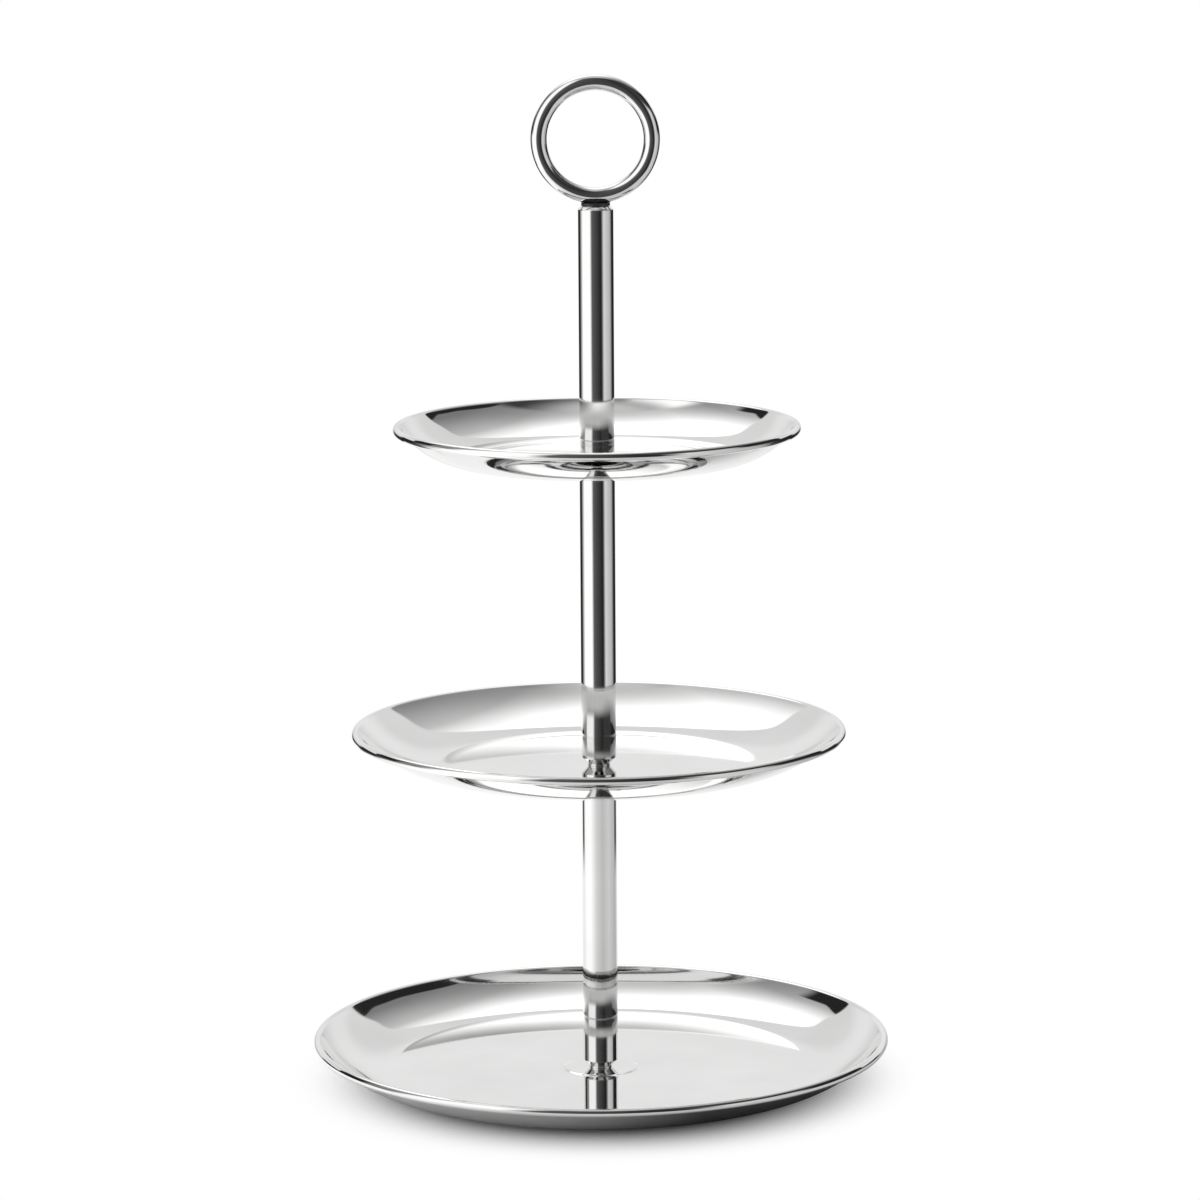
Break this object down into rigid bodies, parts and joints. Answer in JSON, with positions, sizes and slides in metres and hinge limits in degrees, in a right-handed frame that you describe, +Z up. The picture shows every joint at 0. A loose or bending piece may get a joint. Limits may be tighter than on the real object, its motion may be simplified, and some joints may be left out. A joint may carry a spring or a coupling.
{
  "type": "tiered cake stand",
  "caption": "Polished steel serving stand: round dished plates of falling size, stacked on a screwed central column with a carrying ring on top.",
  "frame": {"origin": "centre of the footprint, on the surface that the pads stand on", "axes": "+Z up along the column, +X across the carrying ring, -Y to the front"},
  "size_m": [0.265, 0.265, 0.4623],
  "materials": {
    "polished_steel": "mirror-polished stainless steel",
    "plain_steel": "plain machined steel",
    "dark_collar": "black moulded nylon, semi-matt",
    "pad_rubber": "grey silicone, matt"
  },
  "bodies": {
    "base": {"foot_pads": "pad_rubber", "bottom_plate": "polished_steel", "base_screw": "plain_steel", "base_washer": "plain_steel"},
    "lower_seat": {"lower_seat_washer": "polished_steel"},
    "lower_column": {"lower_post": "polished_steel", "lower_post_foot": "polished_steel", "lower_post_cap": "plain_steel", "lower_stud": "plain_steel"},
    "middle_tier": {"middle_plate": "polished_steel"},
    "middle_seat": {"middle_seat_washer": "polished_steel"},
    "middle_column": {"middle_post": "polished_steel", "middle_post_foot": "polished_steel", "middle_post_cap": "plain_steel", "middle_stud": "plain_steel"},
    "top_tier": {"top_plate": "polished_steel"},
    "upper_seat": {"upper_seat_washer": "polished_steel"},
    "upper_column": {"upper_post": "polished_steel", "upper_post_foot": "polished_steel", "upper_post_cap": "polished_steel"},
    "handle_seat": {"handle_washer": "polished_steel"},
    "handle": {"handle_collar": "dark_collar", "handle_stud": "plain_steel", "ring_handle": "polished_steel"}
  },
  "joints": [
    {"name": "lower_post_rise", "type": "slide", "parent": "base", "child": "lower_seat", "axis": [0, 0, 1], "range_m": [0, 0.007]},
    {"name": "lower_post_unscrew", "type": "hinge", "parent": "lower_seat", "child": "lower_column", "pos_m": [0, 0, 0.0046], "axis": [0, 0, 1], "range_deg": [0, 2520]},
    {"name": "middle_post_rise", "type": "slide", "parent": "lower_column", "child": "middle_seat", "axis": [0, 0, 1], "range_m": [0, 0.007]},
    {"name": "middle_post_unscrew", "type": "hinge", "parent": "middle_seat", "child": "middle_column", "pos_m": [0, 0, 0.1471], "axis": [0, 0, 1], "range_deg": [0, 2520]},
    {"name": "upper_post_rise", "type": "slide", "parent": "middle_column", "child": "upper_seat", "axis": [0, 0, 1], "range_m": [0, 0.007]},
    {"name": "upper_post_unscrew", "type": "hinge", "parent": "upper_seat", "child": "upper_column", "pos_m": [0, 0, 0.2884], "axis": [0, 0, 1], "range_deg": [0, 2520]},
    {"name": "handle_rise", "type": "slide", "parent": "upper_column", "child": "handle_seat", "axis": [0, 0, 1], "range_m": [0, 0.007]},
    {"name": "handle_unscrew", "type": "hinge", "parent": "handle_seat", "child": "handle", "pos_m": [0, 0, 0.4032], "axis": [0, 0, 1], "range_deg": [0, 2520]},
    {"name": "middle_plate_swivel", "type": "hinge", "parent": "lower_column", "child": "middle_tier", "pos_m": [0, 0, 0.1466], "axis": [0, 0, 1], "continuous": true},
    {"name": "top_plate_swivel", "type": "hinge", "parent": "middle_column", "child": "top_tier", "pos_m": [0, 0, 0.2879], "axis": [0, 0, 1], "continuous": true}
  ],
  "couplings": [
    {"joint": "lower_post_unscrew", "follows": "lower_post_rise", "rad_per_m": 6283.2},
    {"joint": "middle_post_unscrew", "follows": "middle_post_rise", "rad_per_m": 6283.2},
    {"joint": "upper_post_unscrew", "follows": "upper_post_rise", "rad_per_m": 6283.2},
    {"joint": "handle_unscrew", "follows": "handle_rise", "rad_per_m": 6283.2}
  ]
}
